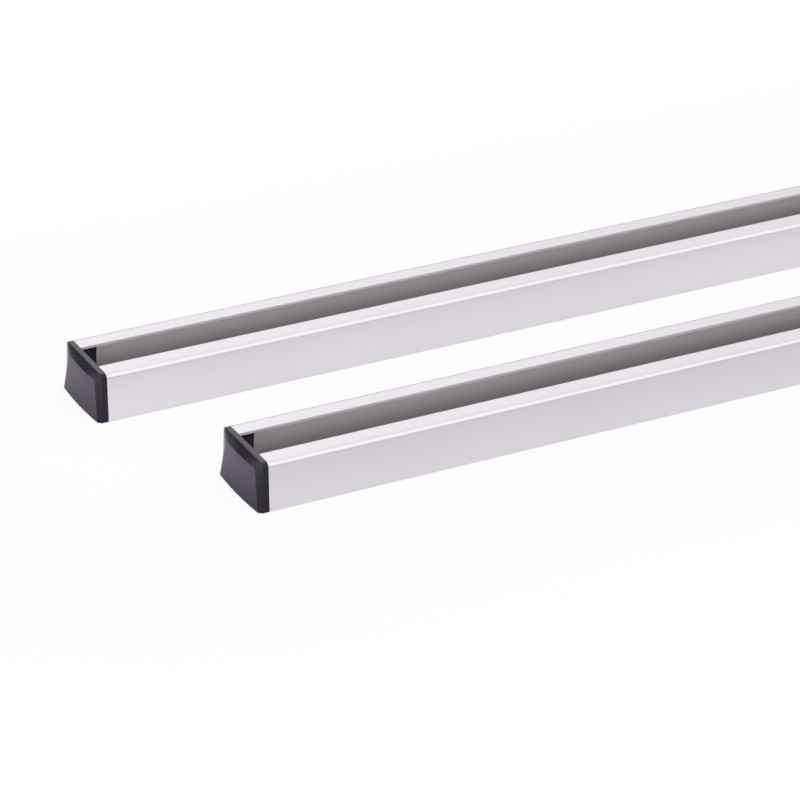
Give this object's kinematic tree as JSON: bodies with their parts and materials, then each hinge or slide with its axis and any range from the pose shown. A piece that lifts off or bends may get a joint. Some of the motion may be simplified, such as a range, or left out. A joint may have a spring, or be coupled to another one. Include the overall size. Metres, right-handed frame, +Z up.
{
  "type": "pair of roof tent mounting rails",
  "caption": "Long aluminium channels with a slot along the top and moulded black end caps, which fix a roof tent to crossbars.",
  "frame": {"origin": "middle of the pair's footprint, on the surface that both rails lie on", "axes": "+X along the rails, towards the end that the front rail is shifted to; +Y from the front rail to the rear rail; +Z up, out of the slots"},
  "size_m": [1.2514, 0.1874, 0.03],
  "materials": {
    "anodised_aluminium": "satin natural anodised",
    "black_plastic": "fine moulded grain"
  },
  "bodies": {
    "root": {"rear_rail": "anodised_aluminium", "front_rail": "anodised_aluminium", "rear_rail_left_end_cap": "black_plastic", "rear_rail_right_end_cap": "black_plastic", "front_rail_left_end_cap": "black_plastic", "front_rail_right_end_cap": "black_plastic"}
  },
  "joints": []
}
